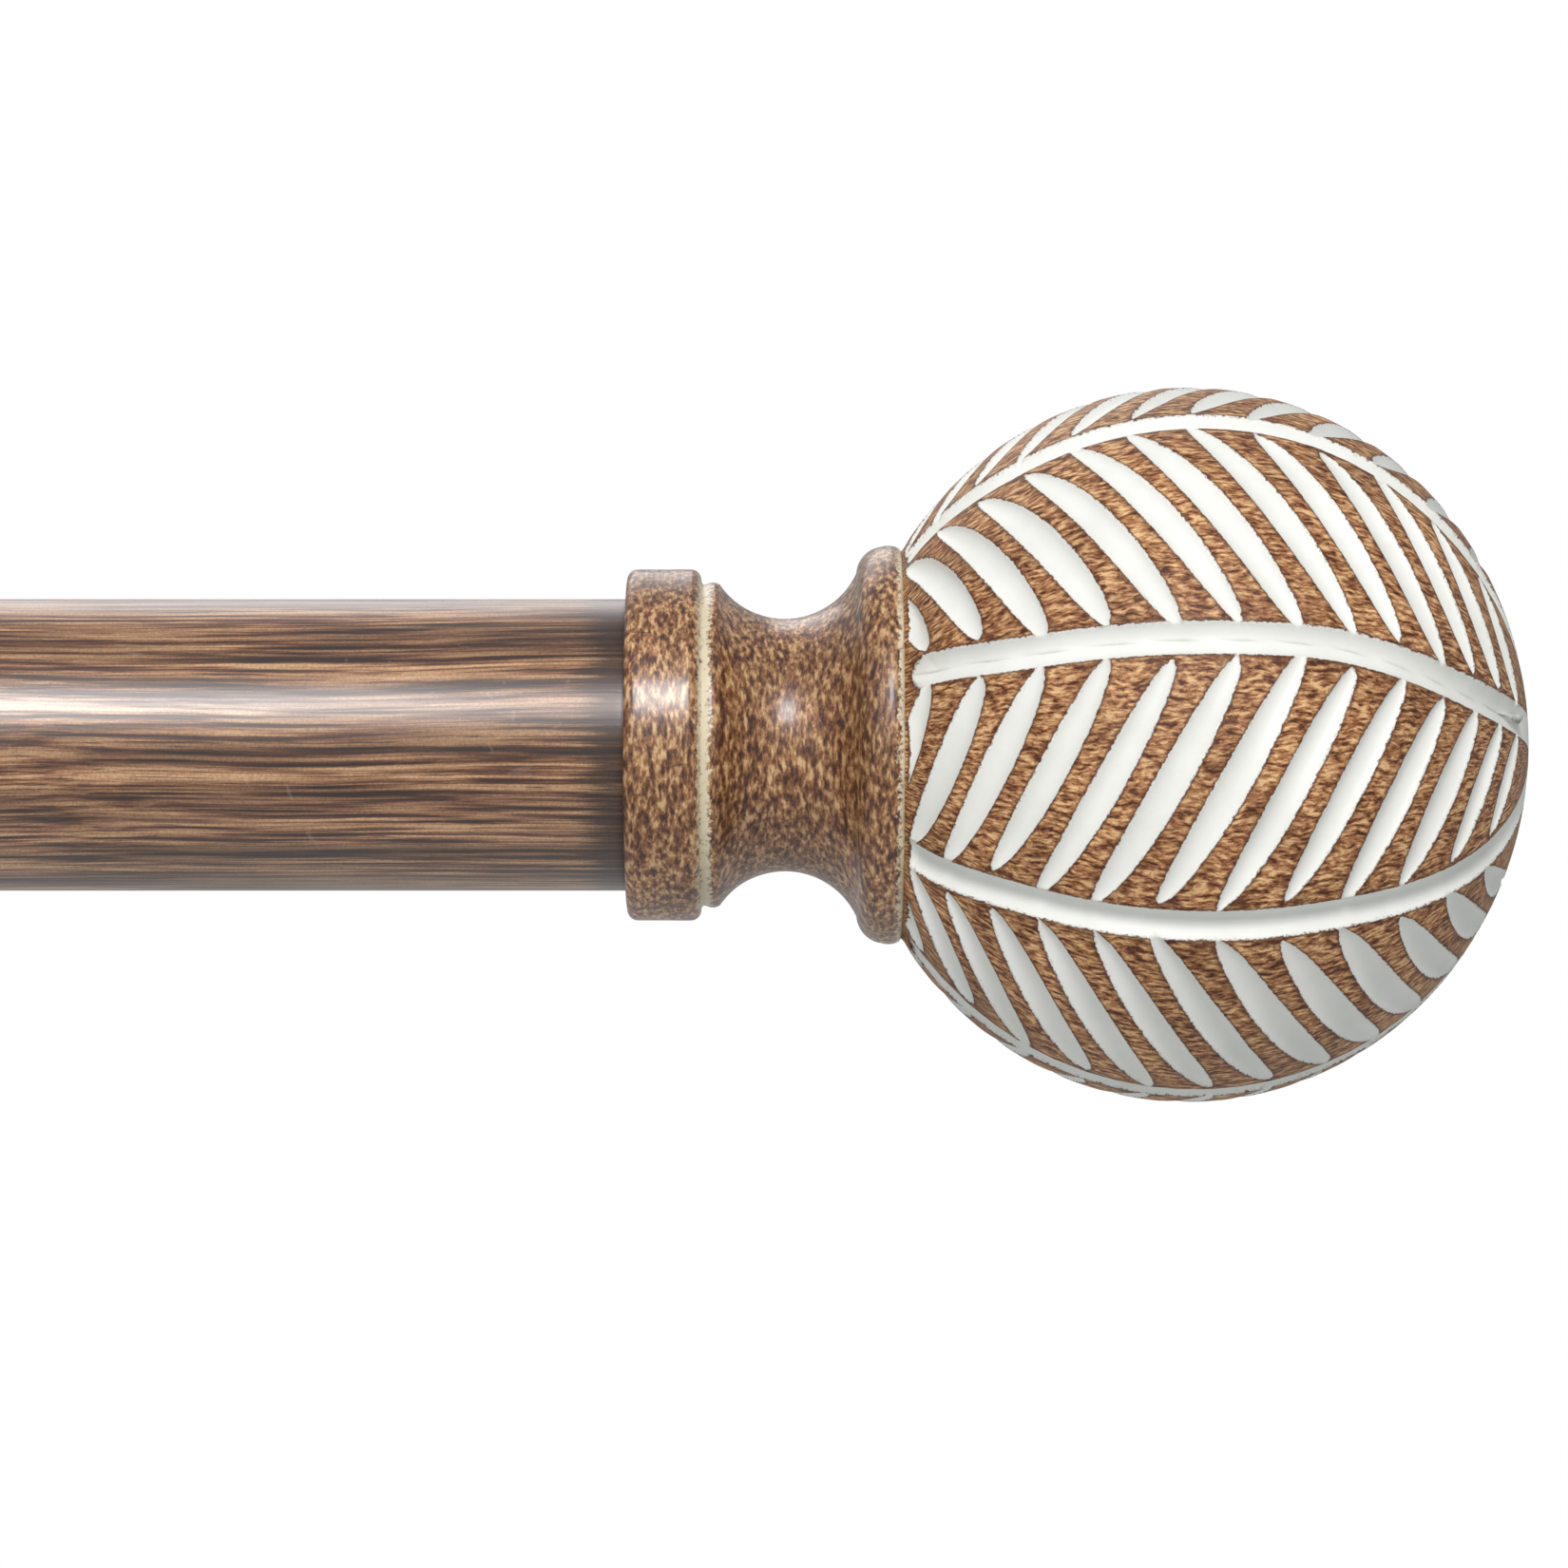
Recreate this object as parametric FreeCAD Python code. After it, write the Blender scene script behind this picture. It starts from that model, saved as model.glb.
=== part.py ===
"""A telescoping curtain rod with ball finials, on two adjustable wall brackets.

X runs along the rod, the wall is the plane y = 0 with the room at -Y, and Z is up. The origin is the
middle of the right wall plate's back face. The rod is closed, and the brackets are pushed in.
"""
import FreeCAD, Part
import math
import os

V = FreeCAD.Vector
X = V(1, 0, 0)
Y = V(0, 1, 0)
Z = V(0, 0, 1)

# Rod: a thin steel tube that slides out of a wider one
rod_diameter = 25.4
outer_tube_wall = 0.8
outer_tube_length = 711.2
inner_tube_diameter = 22.2
inner_tube_wall = 0.8
inner_tube_length = 640.0
tube_overhang = 109.0  # from the right bracket's middle to the outer tube's right end

# Plastic fittings of the tubes
flange_thickness = 1.5
bush_depth = 12.0
glide_flange = 4.0
glide_depth = 15.0
glide_bore_diameter = 12.0
adaptor_showing = 14.2
plug_length = 20.0
insert_wall = 1.6
insert_length = 14.0

# Finial: a turned wooden ball on a coved neck, with a steel stud
ball_diameter = 62.1
ball_length = 59.1
ball_centre = 48.6  # from the collar's face
collar_wall = 2.45  # round the tube's socket
collar_length = 6.4
collar_round = 0.9
socket_depth = 4.0
step_diameter = 28.4
step_end = 8.0
cove_diameter = 22.1
cove_middle = 13.8
cove_end = 19.9
cove_end_diameter = 30.0
bead_diameter = 34.8
bead_start = 20.3
bead_end = 23.9
stud_diameter = 8.0
stud_in_finial = 15.0
stud_in_plug = 13.8

# Brackets
projection = 88.9  # from the wall to the rod's axis, with the arm pushed in
bracket_spacing = 500.0
plate_diameter = 58.0
plate_thickness = 2.5
screw_circle_diameter = 42.0
wall_screw_count = 3
wall_screw_hole = 4.8
wall_shoulder_diameter = 4.6
wall_shank_diameter = 3.6
wall_thread_diameter = 4.2
wall_thread_length = 28.0
wall_head_diameter = 7.8
wall_head_height = 2.6
anchor_recess = 2.5  # the anchors stop this far behind the wall's face
anchor_diameter = 6.0
anchor_length = 30.0
anchor_rings = 5
anchor_ring_depth = 0.4
cover_diameter = 66.0
cover_depth = 14.0
cover_wall = 1.2
cover_rim = 3.6
cover_collar_diameter = 23.0
cover_collar_height = 2.4
sleeve_diameter = 16.0
sleeve_length = 55.0
sleeve_end_wall = 8.0
sleeve_screw_diameter = 5.0
sleeve_screw_length = 9.5
sleeve_screw_head = 9.2
arm_diameter = 12.0
arm_flat = 0.5
boss_diameter = 9.0
boss_height = 3.0
boss_from_mouth = 7.5
cradle_wall = 3.0
cradle_width = 14.0
cradle_leg_height = 10.0
cup_screw_diameter = 4.0
cup_screw_length = 14.0
cup_screw_head = 7.4

# Thumb screws
thumb_stud_diameter = 4.0
thumb_stud_in_knob = 5.0
knob_diameter = 12.0
knob_thickness = 6.5
knob_neck_diameter = 7.5
knob_neck_length = 1.5
knob_flutes = 10
knob_flute_diameter = 2.4
knob_round = 0.6
knob_gap = 1.0  # between the knob and its boss when the screw is tight

# Clearances
slide_gap = 0.08  # between the sliding tubes and their plastic fittings, each side
thread_gap = 0.05  # between a screw and its thread, each side
glue_gap = 0.05  # round a part that is glued or pressed in, each side
arm_gap = 0.06  # round the arm in its sleeve
cradle_gap = 0.3  # round the rod in its cradle
socket_gap = 0.2  # round the tube's end, and behind it, in the finial's socket
closed_gap = 0.5  # between the end adaptor and the mouth bush
cover_gap = 0.3  # from the cover to the wall, and round the sleeve
tip_gap = 0.05  # from a thumb screw's tip to what it presses on
flush_gap = 0.1  # how far a countersunk head lies below its face
hole_end_gap = 1.5  # from a blind hole's end to what goes into it

rod_radius = rod_diameter / 2
outer_bore = rod_radius - outer_tube_wall
inner_radius = inner_tube_diameter / 2
inner_bore = inner_radius - inner_tube_wall
cradle_inside = rod_radius + cradle_gap
cradle_outside = cradle_inside + cradle_wall
sleeve_bore = arm_diameter / 2 + arm_gap
sleeve_mouth = plate_thickness + sleeve_length
bracket_places = {"right": 0.0, "left": -bracket_spacing}

tube_right = tube_overhang
tube_left = tube_right - outer_tube_length
adaptor_right = tube_left - flange_thickness - closed_gap
adaptor_left = adaptor_right - adaptor_showing - socket_depth + socket_gap
inner_right = adaptor_left + inner_tube_length


def write(name, shape):
    """Writes one sub-part as parts/NAME.step."""
    shape.exportStep(f"parts/{name}.step")


def bar(radius, start, direction, length):
    """A plain round bar."""
    return Part.makeCylinder(radius, length, start, direction)


def placed(shape, origin, direction):
    """Moves a shape that was made along +X from the origin to where it belongs."""
    shape.Placement = FreeCAD.Placement(origin, FreeCAD.Rotation(X, direction))
    return shape


def on_rod(x):
    """The point of the rod's axis at this x."""
    return V(x, -projection, 0)


def turned(steps, origin=V(), direction=X):
    """A solid turned about an axis.

    A step is (along, radius) for a straight cut, (along, radius, along, radius) for an arc through the
    first of its two points to the second, or a ready-made curve that starts where the last step ended.
    """
    start = V(steps[0][0], steps[0][1], 0)
    edges = []
    at = start
    for step in steps[1:]:
        if isinstance(step, Part.Shape):
            edges.append(step)
            at = step.Vertexes[-1].Point
            continue
        end = V(step[-2], step[-1], 0)
        if len(step) == 2:
            edges.append(Part.makeLine(at, end))
        else:
            edges.append(Part.Arc(at, V(step[0], step[1], 0), end).toShape())
        at = end
    edges.append(Part.makeLine(at, start))
    solid = Part.Face(Part.Wire(edges)).revolve(V(), X, 360)
    return placed(solid, origin, direction)


def ring(outside, inside, x0, x1):
    """A tube or ring on the rod's axis, given its two radii."""
    whole = bar(outside, on_rod(x0), X, x1 - x0)
    return whole.cut(bar(inside, on_rod(x0), X, x1 - x0))


def countersunk(shank_radius, head_radius, length, origin, direction):
    """A countersunk screw. The head's flat face is at the origin, and it points along direction."""
    head_height = head_radius - shank_radius
    outline = [(0, 0), (0, head_radius), (head_height, shank_radius), (length, shank_radius), (length, 0)]
    return turned(outline, origin, direction)


# Rod


def outer_tube():
    return ring(rod_radius, outer_bore, tube_left, tube_right)


def inner_tube():
    return ring(inner_radius, inner_bore, adaptor_left, inner_right)


def mouth_bush():
    """The ring pressed into the outer tube's open end, which guides the inner tube."""
    guide = inner_radius + slide_gap
    flange = ring(rod_radius, guide, tube_left - flange_thickness, tube_left)
    return flange.fuse(ring(outer_bore - glue_gap, guide, tube_left, tube_left + bush_depth))


def glide():
    """The cap on the inner tube's hidden end, which keeps it in line with the outer tube."""
    bore = glide_bore_diameter / 2
    flange = ring(outer_bore - slide_gap, bore, inner_right, inner_right + glide_flange)
    return flange.fuse(ring(inner_bore - glue_gap, bore, inner_right - glide_depth, inner_right))


def end_adaptor():
    """The sleeve that brings the inner tube up to the outer tube's size for its finial."""
    return ring(rod_radius, inner_radius + glue_gap, adaptor_left, adaptor_right)


insert_radius = stud_diameter / 2 + thread_gap + insert_wall


def tube_plug(tube_bore, end, inward):
    """The round plug glued into a tube's end, bored for its threaded insert. The face is at end."""
    plug = bar(tube_bore - glue_gap, on_rod(end), inward, plug_length)
    return plug.cut(bar(insert_radius + glue_gap, on_rod(end), inward, insert_length + glue_gap))


def plug_insert(end, inward):
    """The threaded steel bush in the plug, which takes the finial's stud."""
    bush = bar(insert_radius, on_rod(end), inward, insert_length)
    return bush.cut(bar(stud_diameter / 2 + thread_gap, on_rod(end), inward, insert_length))


# Finials


def ball_curve(start):
    """The ball's outline, from this distance along the finial to the far pole: a squashed circle."""
    radius = ball_diameter / 2
    along = (start - ball_centre) * ball_diameter / ball_length
    across = math.sqrt(radius**2 - along**2)
    circle = Part.Arc(V(along, across, 0), V(0, radius, 0), V(radius, 0, 0)).toShape()
    squash = FreeCAD.Matrix()
    squash.scale(ball_length / ball_diameter, 1, 1)
    curve = circle.transformGeometry(squash)
    curve.translate(V(ball_centre, 0, 0))
    return curve


def finial(face, outward):
    """The turned ball, neck and collar. The collar's face is at x = face."""
    socket = rod_radius + socket_gap
    collar = socket + collar_wall
    corner = collar_round * (1 - math.sqrt(0.5))
    step = step_diameter / 2
    cove = cove_diameter / 2
    bead = bead_diameter / 2
    bead_middle = (bead_start + bead_end) / 2
    ball = ball_curve(bead_end)
    whole = turned(
        [
            (0, 0),
            (0, collar - collar_round),
            (corner, collar - corner, collar_round, collar),
            (collar_length - collar_round, collar),
            (collar_length - corner, collar - corner, collar_length, collar - collar_round),
            (collar_length, step),
            (step_end, step),
            (cove_middle, cove, cove_end, cove_end_diameter / 2),
            (bead_start, cove_end_diameter / 2),
            (bead_middle, bead, bead_end, cove_end_diameter / 2),
            (bead_end, ball.Vertexes[0].Y),
            ball,
        ]
    )
    whole = whole.cut(bar(socket, V(), X, socket_depth))
    depth = stud_in_finial + glue_gap
    whole = whole.cut(bar(stud_diameter / 2 + glue_gap, V(socket_depth, 0, 0), X, depth))
    return placed(whole, on_rod(face), outward)


def finial_stud(face, outward):
    """The threaded stud. It is fixed in the finial, and screws into the plug's insert."""
    start = socket_depth - socket_gap - stud_in_plug
    length = stud_in_plug + socket_gap + stud_in_finial
    stud = bar(stud_diameter / 2, V(start, 0, 0), X, length)
    return placed(stud, on_rod(face), outward)


# Wall plate, its fixings and its cover


def screw_places(x):
    """Where the wall screws go: the first at the top, the others evenly round the circle."""
    radius = screw_circle_diameter / 2
    turns = [math.pi / 2 + 2 * math.pi * i / wall_screw_count for i in range(wall_screw_count)]
    return [V(x + radius * math.cos(turn), 0, radius * math.sin(turn)) for turn in turns]


def wall_plate(x):
    """The pressed steel disc on the wall, countersunk from behind for the sleeve's screw."""
    plate = bar(plate_diameter / 2, V(x, 0, 0), -Y, plate_thickness)
    for place in screw_places(x):
        plate = plate.cut(bar(wall_screw_hole / 2, place, -Y, plate_thickness))
    sink = countersunk(
        sleeve_screw_diameter / 2 + glue_gap,
        sleeve_screw_head / 2 + glue_gap + flush_gap,
        sleeve_screw_length,
        V(x, 0, 0),
        -Y,
    )
    return plate.cut(sink)


def wall_screws(x):
    """The screws: a pan head, a shoulder in the plate's hole, a plain shank, and the thread."""
    head = wall_head_diameter / 2
    shoulder = wall_shoulder_diameter / 2
    shank = wall_shank_diameter / 2
    thread = wall_thread_diameter / 2
    crown = wall_head_height / 3
    end = anchor_recess + wall_thread_length
    outline = [
        (-plate_thickness - wall_head_height, 0),
        (-plate_thickness - wall_head_height, head - crown),
        (-plate_thickness - wall_head_height + crown, head),
        (-plate_thickness, head),
        (-plate_thickness, shoulder),
        (0, shoulder),
        (0, shank),
        (anchor_recess, shank),
        (anchor_recess, thread),
        (end - thread, thread),
        (end, 0),
    ]
    return Part.makeCompound([turned(outline, place, Y) for place in screw_places(x)])


def wall_anchors(x):
    """The ringed plastic plugs in the wall, one on each screw."""
    outside = anchor_diameter / 2
    bore = wall_thread_diameter / 2 + thread_gap
    pitch = anchor_length / anchor_rings
    outline = [(0, bore), (0, outside - anchor_ring_depth)]
    for i in range(anchor_rings):
        outline.append(((i + 1) * pitch - pitch / 3, outside))
        outline.append(((i + 1) * pitch, outside - anchor_ring_depth))
    outline.append((anchor_length, bore))
    places = [place + Y * anchor_recess for place in screw_places(x)]
    return Part.makeCompound([turned(outline, place, Y) for place in places])


def cover(x):
    """The spun cap that hides the plate and its screws, and slides along the sleeve."""
    rim = cover_diameter / 2
    shoulder = rim - cover_wall
    collar = cover_collar_diameter / 2
    hole = sleeve_diameter / 2 + cover_gap
    front = cover_depth
    dome_end = front - cover_collar_height
    rise = dome_end - cover_rim
    run = shoulder - collar
    middle = (cover_rim + rise * math.sin(math.pi / 4), collar + run * math.cos(math.pi / 4))
    inside = (
        cover_rim + (rise - cover_wall) * math.sin(math.pi / 4),
        collar - cover_wall + run * math.cos(math.pi / 4),
    )
    outline = [
        (cover_gap, rim - cover_wall),
        (cover_gap, rim),
        (cover_rim, rim),
        (cover_rim, shoulder),
        (*middle, dome_end, collar),
        (front, collar),
        (front, hole),
        (front - cover_wall, hole),
        (front - cover_wall, collar - cover_wall),
        (dome_end - cover_wall, collar - cover_wall),
        (*inside, cover_rim - cover_wall, shoulder - cover_wall),
        (cover_rim - cover_wall, rim - cover_wall),
    ]
    return turned(outline, V(x, 0, 0), -Y)


# Sleeve, arm and cradle


def sleeve(x):
    """The bored bar screwed to the plate. Its boss takes the arm's thumb screw from below."""
    body = bar(sleeve_diameter / 2, V(x, -plate_thickness, 0), -Y, sleeve_length)
    boss_y = -(sleeve_mouth - boss_from_mouth)
    boss = bar(boss_diameter / 2, V(x, boss_y, 0), -Z, sleeve_diameter / 2 + boss_height)
    body = body.fuse(boss)
    start = plate_thickness + sleeve_end_wall
    body = body.cut(bar(sleeve_bore, V(x, -start, 0), -Y, sleeve_length - sleeve_end_wall))
    tapped = thumb_stud_diameter / 2 + thread_gap
    body = body.cut(bar(tapped, V(x, boss_y, 0), -Z, sleeve_diameter / 2 + boss_height))
    bolt = sleeve_screw_diameter / 2 + thread_gap
    return body.cut(bar(bolt, V(x, -plate_thickness, 0), -Y, sleeve_end_wall))


def sleeve_screw(x):
    """The countersunk screw that holds the sleeve on the plate, from behind."""
    start = V(x, -flush_gap, 0)
    return countersunk(sleeve_screw_diameter / 2, sleeve_screw_head / 2, sleeve_screw_length, start, -Y)


arm_start = plate_thickness + sleeve_end_wall + hole_end_gap
arm_end = projection - cradle_outside


def arm(x):
    """The round bar that slides in the sleeve, with a flat below for the thumb screw."""
    whole = bar(arm_diameter / 2, V(x, -arm_start, 0), -Y, arm_end - arm_start)
    reach = sleeve_mouth - arm_start
    corner = V(x - arm_diameter / 2, -sleeve_mouth, -arm_diameter / 2)
    whole = whole.cut(Part.makeBox(arm_diameter, reach, arm_flat, corner))
    hole = cup_screw_diameter / 2 + thread_gap
    depth = cup_screw_length + flush_gap - cradle_wall + hole_end_gap
    return whole.cut(bar(hole, V(x, -arm_end, 0), Y, depth))


def cup(x):
    """The open cradle that the rod lies in, with a boss in front for its thumb screw."""
    left = x - cradle_width / 2
    outside = bar(cradle_outside, on_rod(left), X, cradle_width)
    block_corner = V(left, -projection - cradle_outside, 0)
    block = Part.makeBox(cradle_width, 2 * cradle_outside, cradle_leg_height, block_corner)
    boss_length = cradle_outside + boss_height
    boss = bar(boss_diameter / 2, on_rod(x), -Y, boss_length)
    whole = outside.fuse(block).fuse(boss)
    top = Part.makeBox(
        cradle_width,
        2 * cradle_outside,
        cradle_outside,
        V(left, -projection - cradle_outside, cradle_leg_height),
    )
    slot_corner = V(left, -projection - cradle_inside, 0)
    slot = Part.makeBox(cradle_width, 2 * cradle_inside, cradle_outside, slot_corner)
    whole = whole.cut(top).cut(slot).cut(bar(cradle_inside, on_rod(left), X, cradle_width))
    whole = whole.cut(bar(thumb_stud_diameter / 2 + thread_gap, on_rod(x), -Y, boss_length))
    sink = countersunk(
        cup_screw_diameter / 2 + thread_gap,
        cup_screw_head / 2 + thread_gap + flush_gap,
        cup_screw_length,
        V(x, -projection + cradle_inside, 0),
        Y,
    )
    return whole.cut(sink)


def cup_screw(x):
    """The countersunk screw through the cradle's back leg into the arm."""
    start = V(x, -projection + cradle_inside + flush_gap, 0)
    return countersunk(cup_screw_diameter / 2, cup_screw_head / 2, cup_screw_length, start, Y)


# Thumb screws


def thumb_stud(centre, tip, boss_face, outward):
    """The threaded stud. Its tip and the boss's face are distances from centre, along outward."""
    length = boss_face + knob_gap + thumb_stud_in_knob - tip
    return bar(thumb_stud_diameter / 2, centre + outward * tip, outward, length)


def thumb_knob(centre, boss_face, outward):
    """The fluted metal knob on the stud's outer end."""
    radius = knob_diameter / 2
    neck = knob_neck_diameter / 2
    end = knob_neck_length + knob_thickness
    knob = turned(
        [
            (0, 0),
            (0, neck),
            (knob_neck_length, neck),
            (knob_neck_length, radius - knob_round),
            (knob_neck_length + knob_round, radius),
            (end - knob_round, radius),
            (end, radius - knob_round),
            (end, 0),
        ]
    )
    for i in range(knob_flutes):
        turn = 2 * math.pi * i / knob_flutes
        place = V(knob_neck_length, radius * math.cos(turn), radius * math.sin(turn))
        knob = knob.cut(bar(knob_flute_diameter / 2, place, X, knob_thickness))
    knob = knob.cut(bar(thumb_stud_diameter / 2 + glue_gap, V(), X, thumb_stud_in_knob + glue_gap))
    return placed(knob, centre + outward * (boss_face + knob_gap), outward)


os.makedirs("parts", exist_ok=True)

write("outer_tube", outer_tube())
write("inner_tube", inner_tube())
write("tube_mouth_bush", mouth_bush())
write("inner_tube_glide", glide())
write("end_adaptor", end_adaptor())

rod_ends = {"right": (tube_right, X, outer_bore), "left": (adaptor_left, -X, inner_bore)}
for side, (end, outward, bore) in rod_ends.items():
    face = end - outward.x * (socket_depth - socket_gap)
    write(f"{side}_tube_plug", tube_plug(bore, end, -outward))
    write(f"{side}_plug_insert", plug_insert(end, -outward))
    write(f"{side}_finial", finial(face, outward))
    write(f"{side}_finial_stud", finial_stud(face, outward))

for side, x in bracket_places.items():
    write(f"{side}_wall_plate", wall_plate(x))
    write(f"{side}_wall_screws", wall_screws(x))
    write(f"{side}_wall_anchors", wall_anchors(x))
    write(f"{side}_cover", cover(x))
    write(f"{side}_sleeve", sleeve(x))
    write(f"{side}_sleeve_screw", sleeve_screw(x))
    write(f"{side}_arm", arm(x))
    write(f"{side}_cup", cup(x))
    write(f"{side}_cup_screw", cup_screw(x))

    sleeve_axis = V(x, -(sleeve_mouth - boss_from_mouth), 0)
    arm_tip = arm_diameter / 2 - arm_flat + tip_gap
    arm_boss = sleeve_diameter / 2 + boss_height
    write(f"{side}_arm_screw", thumb_stud(sleeve_axis, arm_tip, arm_boss, -Z))
    write(f"{side}_arm_screw_knob", thumb_knob(sleeve_axis, arm_boss, -Z))

    rod_tip = rod_radius + tip_gap
    cup_boss = cradle_outside + boss_height
    write(f"{side}_rod_screw", thumb_stud(on_rod(x), rod_tip, cup_boss, -Y))
    write(f"{side}_rod_screw_knob", thumb_knob(on_rod(x), cup_boss, -Y))
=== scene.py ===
import math
import random

import bmesh
import bpy
from mathutils import Matrix, Vector, noise


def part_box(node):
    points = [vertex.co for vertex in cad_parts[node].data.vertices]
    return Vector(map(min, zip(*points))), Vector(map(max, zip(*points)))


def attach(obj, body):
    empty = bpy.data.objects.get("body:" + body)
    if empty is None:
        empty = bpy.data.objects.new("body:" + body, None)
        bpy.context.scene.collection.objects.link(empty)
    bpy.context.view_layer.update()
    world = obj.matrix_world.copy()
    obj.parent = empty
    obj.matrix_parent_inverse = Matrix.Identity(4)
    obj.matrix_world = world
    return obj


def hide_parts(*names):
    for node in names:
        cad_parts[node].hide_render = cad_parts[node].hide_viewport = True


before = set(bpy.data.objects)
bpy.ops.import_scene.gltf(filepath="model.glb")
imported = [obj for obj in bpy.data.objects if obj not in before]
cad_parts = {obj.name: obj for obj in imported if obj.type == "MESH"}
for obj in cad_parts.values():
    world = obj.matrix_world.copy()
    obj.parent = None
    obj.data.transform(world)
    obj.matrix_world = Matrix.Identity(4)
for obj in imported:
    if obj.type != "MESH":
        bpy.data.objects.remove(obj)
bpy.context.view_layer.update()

# --------------------------------------
# Tubes
#
# Two thin steel tubes, one sliding in the other, wrapped in a film printed and brushed to look
# like wood. A sleeve brings the thin tube's far end up to the thick tube's size for its finial,
# and a plastic bush in the thick tube's mouth guides the thin one.
# --------------------------------------

MM = 0.001
X = Vector((1, 0, 0))
Y = Vector((0, 1, 0))
Z = Vector((0, 0, 1))

outer_low, outer_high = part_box("outer_tube")
inner_low, inner_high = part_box("inner_tube")
adaptor_low, adaptor_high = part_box("end_adaptor")
bush_low, bush_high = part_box("tube_mouth_bush")
rod_radius = (outer_high.z - outer_low.z) / 2
rod_y = (outer_high.y + outer_low.y) / 2
inner_radius = (inner_high.z - inner_low.z) / 2
tube_wall = 0.8 * MM
guide_gap = 0.08 * MM
bush_flange = 1.5 * MM
tube_rounding = 0.2 * MM
bush_rounding = 0.15 * MM
round_steps = 128
merge_distance = 0.0005 * MM


def finished(bm, name, sharp_angle=38):
    """Turns a bmesh into a linked object with smooth faces and crisp corners."""
    bmesh.ops.recalc_face_normals(bm, faces=bm.faces)
    mesh = bpy.data.meshes.new(name)
    bm.to_mesh(mesh)
    bm.free()
    mesh.shade_smooth()
    mesh.set_sharp_from_angle(angle=math.radians(sharp_angle))
    piece = bpy.data.objects.new(name, mesh)
    bpy.context.collection.objects.link(piece)
    return piece


def along_axis(origin, direction):
    """The placement that lays a shape made along +X at the origin along another direction."""
    return Matrix.Translation(origin) @ X.rotation_difference(direction).to_matrix().to_4x4()


def sharp_edges(bm, angle=35):
    """The edges where two faces meet at a corner."""
    return [e for e in bm.edges if len(e.link_faces) == 2 and e.calc_face_angle(0) > math.radians(angle)]


def rounded(bm, edges, width):
    """Rounds edges off, three faces wide."""
    bmesh.ops.bevel(bm, geom=edges, offset=width, segments=3, profile=0.5, affect="EDGES", material=-1)


def swept(outline, steps, closed=False):
    """The shell that an outline of (along, radius) places leaves as it turns about the X axis."""
    bm = bmesh.new()
    corners = [bm.verts.new((along, radius, 0)) for along, radius in outline]
    edges = [bm.edges.new(pair) for pair in zip(corners, corners[1:])]
    if closed:
        edges.append(bm.edges.new((corners[-1], corners[0])))
    circle = {"cent": (0, 0, 0), "axis": X, "angle": 2 * math.pi, "steps": steps, "use_merge": True}
    bmesh.ops.spin(bm, geom=corners + edges, **circle)
    bmesh.ops.remove_doubles(bm, verts=bm.verts, dist=merge_distance)
    return bm


def turned(outline, origin, direction, rounding=0.0, steps=round_steps):
    """A closed shape turned about an axis, from its outline of (along, radius) places.

    An outline that starts and ends on the axis closes there. Any other is a ring, and closes on itself.
    """
    bm = swept(outline, steps, closed=outline[0][1] > 0)
    bmesh.ops.recalc_face_normals(bm, faces=bm.faces)
    if rounding:
        rounded(bm, sharp_edges(bm), rounding)
    bmesh.ops.transform(bm, matrix=along_axis(origin, direction), verts=bm.verts)
    return bm


def ring(inside, outside, length):
    """The outline of a plain ring or tube."""
    return [(0, inside), (0, outside), (length, outside), (length, inside)]


def on_rod(x):
    """The point of the rod's axis at this x."""
    return Vector((x, rod_y, 0))


outer_ring = ring(rod_radius - tube_wall, rod_radius, outer_high.x - outer_low.x)
outer_tube = finished(turned(outer_ring, on_rod(outer_low.x), X, tube_rounding), "outer_tube_wrap")
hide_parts("outer_tube")
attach(outer_tube, "outer_rod")

inner_ring = ring(inner_radius - tube_wall, inner_radius, inner_high.x - inner_low.x)
inner_tube = finished(turned(inner_ring, on_rod(inner_low.x), X, tube_rounding), "inner_tube_wrap")
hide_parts("inner_tube")
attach(inner_tube, "inner_rod")

adaptor_ring = ring(inner_radius + guide_gap, rod_radius, adaptor_high.x - adaptor_low.x)
adaptor = finished(turned(adaptor_ring, on_rod(adaptor_low.x), X, tube_rounding), "adaptor_wrap")
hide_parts("end_adaptor")
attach(adaptor, "inner_rod")

bush_outline = [
    (0, inner_radius + guide_gap),
    (0, rod_radius),
    (bush_flange, rod_radius),
    (bush_flange, rod_radius - tube_wall - guide_gap),
    (bush_high.x - bush_low.x, rod_radius - tube_wall - guide_gap),
    (bush_high.x - bush_low.x, inner_radius + guide_gap),
]
mouth_bush = finished(turned(bush_outline, on_rod(bush_low.x), X, bush_rounding), "mouth_bush")
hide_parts("tube_mouth_bush")
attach(mouth_bush, "outer_rod")


def node(tree, kind, inputs=None, **settings):
    """Adds a shader node, with inputs given as values or as sockets to link, and gives its outputs."""
    made = tree.nodes.new("ShaderNode" + kind)
    for name, value in settings.items():
        setattr(made, name, value)
    for name, value in (inputs or {}).items():
        if isinstance(value, bpy.types.NodeSocket):
            tree.links.new(value, made.inputs[name])
        else:
            made.inputs[name].default_value = value
    return made.outputs


def work(tree, operation, *values):
    """One step of arithmetic between numbers and sockets."""
    return node(tree, "Math", dict(enumerate(values)), operation=operation)[0]


def rescale(tree, value, low, high, new_low=0.0, new_high=1.0):
    """Brings a socket's range from low and high to new_low and new_high, and holds it there."""
    numbers = {"Value": value, 1: low, 2: high, 3: new_low, 4: new_high}
    return node(tree, "MapRange", numbers, clamp=True)[0]


def blend(tree, factor, first, second, kind="MIX"):
    """Mixes two colours."""
    return node(tree, "Mix", {0: factor, 6: first, 7: second}, data_type="RGBA", blend_type=kind)[2]


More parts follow.
